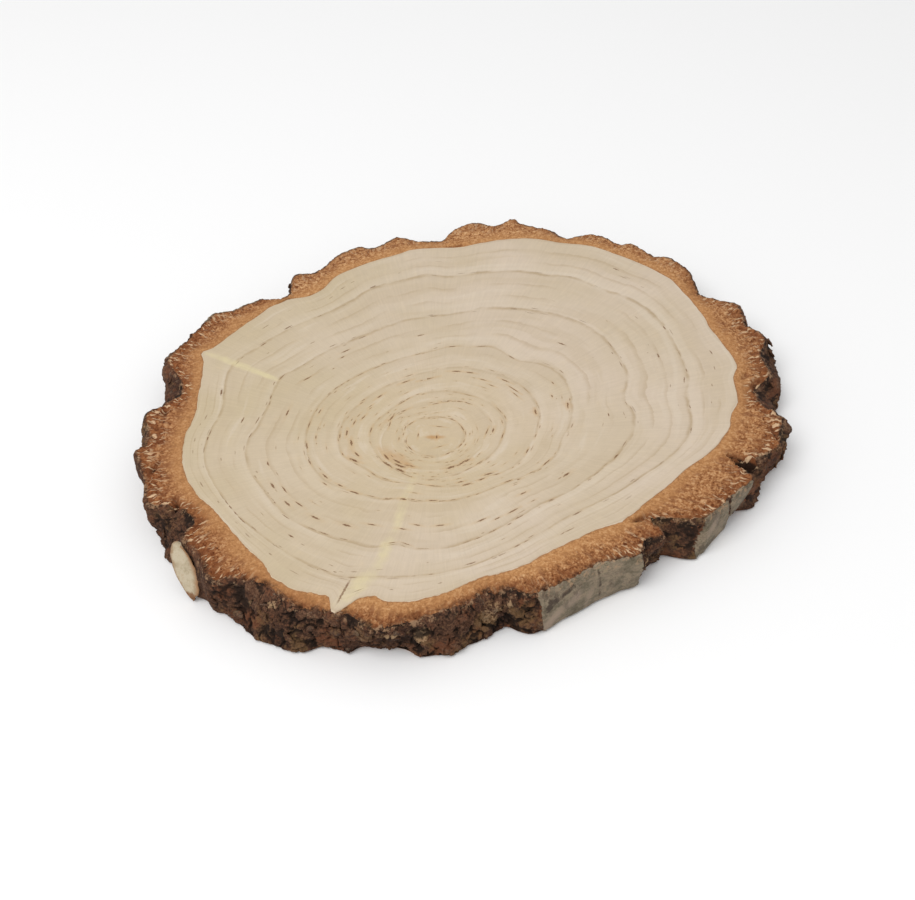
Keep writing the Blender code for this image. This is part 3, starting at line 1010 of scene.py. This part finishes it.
# a dark red: the colour of the red streaks, and also painted shade in the shallow hollows of the cut face
RED_BARK_AND_HOLLOW_SHADE = (0.185, 0.062, 0.022)
YOUNG_BARK = (0.500, 0.250, 0.096)
DEEPER_TONE = (0.52, 0.37, 0.29)
HARD_GRAIN = (0.700, 0.480, 0.290)
CAMBIUM = (0.300, 0.150, 0.070)
SCORCHED_RIM = (0.130, 0.055, 0.024)
RIM_CRUMBS = (0.430, 0.265, 0.150)
ROUGH_BARK_TONES = (
    (0.34, (0.013, 0.006, 0.004)), (0.44, (0.041, 0.018, 0.010)), (0.52, (0.088, 0.040, 0.022)),
    (0.59, (0.155, 0.080, 0.045)), (0.70, (0.285, 0.180, 0.110)),
)
RUSTY_BARK = (0.160, 0.056, 0.024)
MOSSY_BARK = (0.180, 0.104, 0.042)
TORN_BARK = (0.370, 0.235, 0.130)
LICHEN = (0.210, 0.175, 0.125)
# painted shade, nearly black, for cracks, pits and low places, laid on by how deep they lie
PAINTED_CREVICE_SHADE = (0.010, 0.006, 0.004)
SILVER_TONES = (
    (0.34, (0.078, 0.060, 0.038)), (0.43, (0.140, 0.113, 0.072)), (0.49, (0.196, 0.158, 0.106)),
    (0.54, (0.260, 0.194, 0.132)), (0.60, (0.250, 0.206, 0.134)), (0.66, (0.215, 0.186, 0.112)),
)
PINK_PAPER = (0.370, 0.272, 0.208)
SCAB = (0.050, 0.032, 0.022)
BROWN_SPECK = (0.09, 0.07, 0.05)
PORE_LINE = (0.12, 0.09, 0.065)
OLD_SCAB = (0.070, 0.048, 0.034)
CREAM_TONES = (
    (0.34, (0.300, 0.235, 0.150)), (0.46, (0.430, 0.355, 0.240)), (0.56, (0.500, 0.425, 0.305)),
    (0.68, (0.420, 0.315, 0.200)),
)


# %% The cut face of the bark
STREAKS_ROUND, STREAK_LENGTH = 46.0, 6.0  # red streaks to a radian, and mm
GRAINS_ROUND, GRAIN_LENGTH = 118.0, 3.0  # hard grains to a radian, and mm


def cut_look(place, from_wood, to_rim, relief):
    """Orange and mealy, redder outwards, with pale hard grains in rows that point outwards."""
    flat, reach, ahead = seen_from_pith(place)
    side_x, side_y, _ = parts_of(ahead)
    mealy = grain(place, 1.5, 3.0, 0.65)
    curdled = grain(place + grain(flat, 0.7) * 2.0, 0.75, 3.0, 0.7)
    broad = grain(flat, 0.09, 2.0)
    colour = toned(swing(mealy * 0.45 + curdled * 0.55, 1.25) + 0.5, CUT_BARK_TONES)

    # Deeper towards the rim, on the left and on the right, and lighter at the back.
    deep = smooth(to_rim + swing(curdled, 8), 9.0, 1.0) * 0.70 + smooth(side_x, -0.2, -0.9) * 0.48
    deep = deep + smooth(side_x, 0.45, 0.95) * 0.28
    deep = deep * smooth(broad, 0.0, 0.45) * (1 - smooth(side_y, 0.4, 0.9) * 0.5)
    colour = mixed(deep, colour, colour * DEEPER_TONE)

    # Younger and yellower beside the wood, with red streaks that run outwards, and painted shade that darkens
    # the hollows and pits.
    young = from_wood + swing(broad, 8) + swing(curdled, 5)
    streak_x, streak_y, _ = parts_of(scaled(ahead, STREAKS_ROUND))
    streaks = grain(vector_of(streak_x, streak_y, reach / STREAK_LENGTH), 1.0, 4.0, 0.65)
    redden = smooth(streaks, 0.50, 0.62) * smooth(from_wood + swing(mealy, 4), 1.5, 5.0)
    redden = redden * (1 - smooth(side_y, 0.3, 0.8) * 0.6)

    # Hard grains lie in banks near the rim, most of them on the left and the right.
    grains_x, grains_y, _ = parts_of(scaled(ahead, GRAINS_ROUND))
    grains = grain(vector_of(grains_x, grains_y, reach / GRAIN_LENGTH), 1.0, 2.0, 0.5)
    banks = smooth(grain(vector_of(side_x, side_y, 4.0), 5.5, 1.0), 0.45, 0.60)
    banks = banks + smooth(side_x, -0.55, -0.85) + smooth(side_x, 0.80, 0.95)
    outwards = smooth(to_rim, 9.0, 2.0) * smooth(from_wood, 1.0, 4.0)
    outwards = outwards * smooth(side_y, -0.98, -0.75) * (1 - smooth(side_y, 0.4, 0.9) * 0.55)
    grains = smooth(grains, 0.565, 0.62) * outwards * banks.then("MINIMUM", 1.0)
    colour = layered(
        colour,
        (smooth(young, 6.0, 1.5) * 0.50, YOUNG_BARK),
        (redden * 0.62, RED_BARK_AND_HOLLOW_SHADE),
        # painted shade: the crumbled hollows turn dark red and the deep pits nearly black, by how deep they
        # lie
        (smooth(relief + swing(mealy, 0.7), -0.35, -1.2) * 0.60, RED_BARK_AND_HOLLOW_SHADE),
        (smooth(relief + swing(mealy, 0.9), -1.4, -2.8) * 0.90, PAINTED_CREVICE_SHADE),
        (grains * 0.85, HARD_GRAIN),
        (smooth(from_wood + swing(mealy, 0.9), 0.5, 0.0) * 0.5, CAMBIUM),
        (smooth(to_rim + swing(mealy, 2.4), 1.1, 0.0) * 0.8, SCORCHED_RIM),
    )
    return colour, 0.80 + mealy * 0.1, mealy * 0.5 + curdled * 0.6 + grains * 0.4


# %% The rough skin
def rough_look(place, relief, pale, scab):
    """Nearly black, with lichen on its high places, rust where a flake has fallen, and painted shade that
    blackens the cracks and low places.
    """
    fine, speck = grain(place, 1.3, 4.0, 0.7), grain(place, 3.6, 2.0, 0.7)
    colour = toned(grain(place, 0.14, 3.0, 0.6) * 0.30 + fine * 0.45 + speck * 0.25, ROUGH_BARK_TONES)
    rusty = grain(place + (40.0, 7.0, 3.0), 0.13, 4.0, 0.7) + scab * 0.3
    mossy = grain(place + (9.0, 70.0, 3.0), 0.10, 4.0, 0.7) + pale * 0.25
    crust = smooth(relief, 0.1, 0.8) * smooth(grain(place + (3.0, 90.0, 8.0), 0.2, 4.0, 0.7), 0.45, 0.62)
    colour = layered(
        colour,
        (smooth(rusty + swing(fine, 0.5), 0.50, 0.68) * 0.65, RUSTY_BARK),
        (smooth(mossy + swing(fine, 0.5), 0.54, 0.68) * 0.52, MOSSY_BARK),
        (smooth(pale + swing(fine, 2.2), 0.40, 0.9) * 0.85, TORN_BARK),
        (crust * smooth(speck, 0.42, 0.60) * 0.6, LICHEN),
        # painted shade: the cracks and low places go nearly black, by how deep they lie
        (smooth(relief + swing(fine, 0.8), -0.25, -1.0) * 0.85, PAINTED_CREVICE_SHADE),
    )
    return colour, 0.86 + fine * 0.08, fine * 0.7 + speck * 0.5


# %% The silver skin
def silver_look(place):
    """Smooth paper bark: blotches, fine specks, short dark lines across it, and old scabs."""
    x, y, z = parts_of(place)
    wide = grain(vector_of(x, y, z * 1.3), 0.16, 4.0, 0.65)
    fine = grain(vector_of(x, y, z * 2.0), 1.1, 3.0, 0.65)
    lines = grain(vector_of(x * 0.35, y * 0.35, z * 2.2), 0.8, 2.0)
    scabs = grain(place + (11.0, 3.0, 60.0), 0.16, 4.0, 0.7)
    colour = layered(
        toned(wide * 0.62 + fine * 0.38, SILVER_TONES),
        (smooth(grain(place, 3.2, 2.0, 0.7), 0.54, 0.70) * 0.7, BROWN_SPECK),
        (smooth(lines, 0.58, 0.70) * 0.35, PORE_LINE),
        (smooth(scabs + swing(fine, 0.4), 0.56, 0.70) * 0.75, OLD_SCAB),
    )
    return colour, 0.55 + fine * 0.25, fine * 0.5 - smooth(scabs, 0.56, 0.64) * 0.5


# %% Mix the ring's material
def birch_bark():
    material, place = start_material("birch_bark")
    from_wood, to_rim, _ = attribute(place, "cut")
    relief, cover, outside = attribute(place, "skin")
    scab, pale, pink = attribute(place, "patches")
    _, y, z = parts_of(place)

    # Where the skin shows: on the outside, and in soiled places that reach a little way in over the rim.
    torn = swing(grain(place, 1.1, 3.0, 0.65), 0.9)
    soiled = grain(place + (5.0, 60.0, 0.0), 0.35, 4.0, 0.7)
    fray = 1.5 + smooth(y, -25.0, -60.0) * 1.2
    soiled = smooth(soiled + torn * 0.3, 0.42, 0.54) * (1 - smooth((to_rim + torn * 3) / fray, 0.2, 1.0))
    skin = smooth(outside + torn * 0.5, 0.40, 0.60).then("MAXIMUM", soiled * 0.9)
    silver = smooth(cover + torn, -0.05, 0.15)

    cut_colour, cut_rough, cut_height = cut_look(place, from_wood, to_rim, relief)
    rough_colour, rough_rough, rough_height = rough_look(place, relief, pale, scab)
    silver_colour, silver_rough, silver_height = silver_look(place)
    ragged = swing(grain(place, 0.4, 4.0, 0.7), 2.6)
    scabby = smooth(scab + ragged + torn * 0.7, 0.25, 0.80) * smooth(scab, 0.0, 0.3)
    silver_colour = layered(silver_colour, (pink * 0.6, PINK_PAPER), (scabby * 0.85, SCAB))
    crumbs = smooth(grain(place, 0.55, 4.0, 0.75), 0.53, 0.62) * smooth(to_rim.then("ABSOLUTE"), 1.8, 0.4)
    skin_colour = mixed(silver, rough_colour, silver_colour)
    colour = layered(cut_colour, (skin, skin_colour), (crumbs * smooth(z, 10.5, 13.5) * 0.6, RIM_CRUMBS))
    roughness = cut_rough + (rough_rough - cut_rough) * skin
    roughness = roughness + (silver_rough - roughness) * (silver * skin)
    height = rough_height + (silver_height - rough_height) * silver
    height = cut_height + (height - cut_height) * skin
    return finish_material(material, colour, roughness, 0.2, height, 0.35 * MM)


# %% Build the ring
SECTION_AT = 3.0  # how far off the axis the round section stands, if its radius is 1


def on_the_side(ovals):
    """Ovals given by an angle, as ovals on the bark unrolled flat."""
    return [(math.radians(turn) * PAINT_RADIUS, *rest) for turn, *rest in ovals]


def build_bark():
    turns = [-math.tau * row / BARK_ROWS for row in range(BARK_ROWS)]  # clockwise, as the real rows run
    section = [(SECTION_AT + math.cos(angle), math.sin(angle)) for angle in turns]
    piece = new_piece("bark", spin_section(section, BARK_STEPS, closed=True), birch_bark())
    spun = corners_of(piece.data)
    degrees = np.degrees(np.arctan2(spun[:, 1], spun[:, 0])) % 360
    angle = np.arctan2(-spun[:, 2], np.hypot(spun[:, 0], spun[:, 1]) - SECTION_AT) % math.tau
    row = np.round(angle / math.tau * BARK_ROWS) % BARK_ROWS
    places, relief, cover, outside = bark_mesh_places(row, degrees)
    move_corners(piece.data, places)
    from_wood = np.hypot(*(places[:, :2] - PITH).T) - wood_edge(degrees)
    to_rim = bark_side(degrees, 1.0) - read(wear_table, degrees) - wood_edge(degrees) - from_wood
    unrolled = np.column_stack([np.radians(degrees) * PAINT_RADIUS, places[:, 2]])
    patches = [painted(on_the_side(ovals), unrolled) * outside for ovals in (SCABS, PALE_TEARS, PINK_PLACES)]
    hold(piece.data, "cut", np.column_stack([from_wood, to_rim, 0 * row]))
    hold(piece.data, "skin", np.column_stack([relief, cover, outside]))
    hold(piece.data, "patches", np.column_stack(patches))
    piece.data.set_sharp_from_angle(angle=math.radians(60))
    return piece


bark = build_bark()

# %% [markdown]
# ## Paper that peels and flakes that lift
#
# On the real slice one strip of cream paper bark hangs off the left side by its upper end, and all round the
# black bark small flakes are coming away. Each is a thin sheet, so it starts as a flat grid, is bent to lie
# on the bark, and gets a thickness at the end, which closes it. The flakes share the ring's material: what
# they hold says that they are rough outside bark.

# %% The peeling strip
STRIP_ACROSS, STRIP_DOWN = 8, 22  # faces
STRIP_WIDTH = 8.2  # mm, at its widest
STRIP_AT = (212.3, 218.2)  # degrees, at the rim and at the foot
STRIP_HEIGHTS = (RIM_HEIGHT + 0.1, 0.7)  # mm, of its two ends
STRIP_LIFT, STRIP_TWIST = 1.2, 1.9  # mm: how far it stands off the bark, and how much more on its left
STRIP_THICKNESS = 0.35  # mm
TORN_EDGE = (0.30, 0.150, 0.065)
TORN_TIP = (0.200, 0.085, 0.032)


def peeling_paper():
    material, place = start_material("peeling_paper")
    across, down, _ = attribute(place, "strip")
    wide, fine = grain(place, 0.25, 3.0), grain(place, 1.6, 3.0, 0.7)
    worn = swing(grain(place, 0.9, 3.0), 0.35)
    colour = layered(
        toned(wide * 0.7 + fine * 0.3, CREAM_TONES),
        (smooth(across.then("ABSOLUTE") + worn, 0.78, 1.0) * 0.6, TORN_EDGE),
        (smooth(across + worn, 0.35, 0.90) * 0.8, TORN_EDGE),
        (smooth(down + worn * 0.5, 0.84, 0.92) * 0.9, TORN_TIP),
    )
    return finish_material(material, colour, 0.6 + fine * 0.2, 0.3, fine, 0.15 * MM)


def strip_places(across, down):
    """Where a place on the strip hangs, from its share across it (-1 to 1) and down it (0 to 1)."""
    wavy = ripple(np.column_stack([across * 3, down * 14, 0 * down]), 4.0)
    notched = ripple(np.column_stack([np.sign(across) * 9, down * 30, 0 * down]), 4.0)
    bulge = np.where(across > 0, np.sin(np.pi * down**1.1) ** 0.8, 0.85 * np.sin(np.pi * down**0.6))
    half_width = (STRIP_WIDTH + 1.6 * wavy + 1.8 * notched) / 2 * (0.30 + 0.70 * bulge)
    half_width = half_width * np.clip((1.04 - down) * 4, 0.06, 1)
    middle = between(zip((0, 1), STRIP_AT), down)
    height = between(zip((0, 1), STRIP_HEIGHTS), down)
    out = bark_side(middle, height / TOP)
    twist = STRIP_TWIST * across * np.sin(np.pi * down**0.8)
    distance = out + STRIP_LIFT - twist + 0.6 * across**2 + 0.25 * wavy
    turn = towards(middle + np.degrees(across * half_width / out))
    return np.column_stack([PITH + turn * distance[:, None], height + 0.3 * wavy * down])


def build_strip():
    maker = bmesh.new()
    bmesh.ops.create_grid(maker, x_segments=STRIP_ACROSS, y_segments=STRIP_DOWN, size=1.0)
    across = np.array([vertex.co.x for vertex in maker.verts])
    down = np.array([(1 - vertex.co.y) / 2 for vertex in maker.verts])
    for vertex, spot in zip(maker.verts, strip_places(across, down) * MM):
        vertex.co = spot
    bmesh.ops.recalc_face_normals(maker, faces=maker.faces)
    bmesh.ops.solidify(maker, geom=maker.faces[:], thickness=STRIP_THICKNESS * MM)
    bmesh.ops.recalc_face_normals(maker, faces=maker.faces)
    piece = new_piece("peeling_strip", maker, peeling_paper())
    sides = len(piece.data.vertices) // len(across)
    hold(piece.data, "strip", np.tile(np.column_stack([across, down, 0 * down]), (sides, 1)))
    return piece


strip = build_strip()

# %% Loose flakes on the outside
FLAKES = 150  # tried, before those in smooth places are left out
FLAKE_FACES = 4  # along each side of a flake
FLAKE_THICKNESS = 0.45  # mm
FLAKELESS = ((182.0, 198.0), (206.0, 221.0), (320.0, 358.0))  # degrees, from and to
NEAR_A_PLATE = -2.5  # mm inside a plate


def outwards_frame(degrees, height, lift):
    """A frame on the bark's side, with X along the bark, Y up it and Z straight out."""
    wear = max(float(read(wear_table, degrees)), 0.1)
    reach = float(bark_side(degrees, height / TOP) - worn_off(wear, RIM_HEIGHT - height)) + lift
    out = Vector((*towards(np.array([degrees]))[0], 0.0))
    axes = Matrix((out.cross((0.0, 0.0, 1.0)) * -1, (0.0, 0.0, 1.0), out)).transposed().to_4x4()
    return Matrix.Translation(Vector((*PITH, height)) + out * reach) @ axes


def flake_corner(place, wide, tall, seed):
    """A flake's corner, from its place in a grid that is 1 across: rounded off, ragged and buckled."""
    rough = noise.noise_vector(place * 2.2 + seed)
    rounded = place * (1 - 0.8 * max(0.0, abs(place.x) + abs(place.y) - 0.6))
    return (rounded.x + rough.x * 0.1) * wide, (rounded.y + rough.y * 0.1) * tall, rough.z * 0.5


def build_flakes():
    dice = np.random.default_rng(5)
    maker = bmesh.new()
    held = []
    for _ in range(FLAKES):
        degrees, height = dice.uniform(0.0, 360.0), dice.uniform(3.0, 13.4)
        wide, tall = dice.uniform(1.6, 4.4), dice.uniform(1.2, 3.0)
        stance = outwards_frame(degrees, height, dice.uniform(-0.2, 0.55))
        for axis in "XY":
            stance = stance @ Matrix.Rotation(dice.normal(0.0, 0.22), 4, axis)
        stance = stance @ Matrix.Rotation(dice.uniform(-0.5, 0.5), 4, "Z")
        cover = plate_cover(np.array([degrees]), np.array([height]))[0]
        if cover > NEAR_A_PLATE or any(start < degrees < end for start, end in FLAKELESS):
            continue
        made = bmesh.ops.create_grid(maker, x_segments=FLAKE_FACES, y_segments=FLAKE_FACES, size=0.5)["verts"]
        for vertex in made:
            vertex.co = flake_corner(vertex.co, wide, tall, Vector((degrees, height, 0.0)))
        faces = list(dict.fromkeys(face for vertex in made for face in vertex.link_faces))
        thick = bmesh.ops.extrude_face_region(maker, geom=faces, use_keep_orig=True)["geom"]
        backs = [item for item in thick if isinstance(item, bmesh.types.BMVert)]
        bmesh.ops.translate(maker, verts=backs, vec=(0.0, 0.0, -FLAKE_THICKNESS))
        bmesh.ops.transform(maker, verts=made + backs, matrix=stance)
        held += [(dice.uniform(-0.3, 0.7), NO_PLATE, 1.0)] * len(made + backs)
    bmesh.ops.scale(maker, verts=maker.verts, vec=(MM, MM, MM))
    bmesh.ops.recalc_face_normals(maker, faces=maker.faces)
    piece = new_piece("bark_flakes", maker, bark.data.materials[0])
    hold(piece.data, "skin", np.array(held))
    hold(piece.data, "cut", np.full((len(held), 3), 9.0))  # mm: as if far from the wood and from the rim
    return piece


flakes = build_flakes()
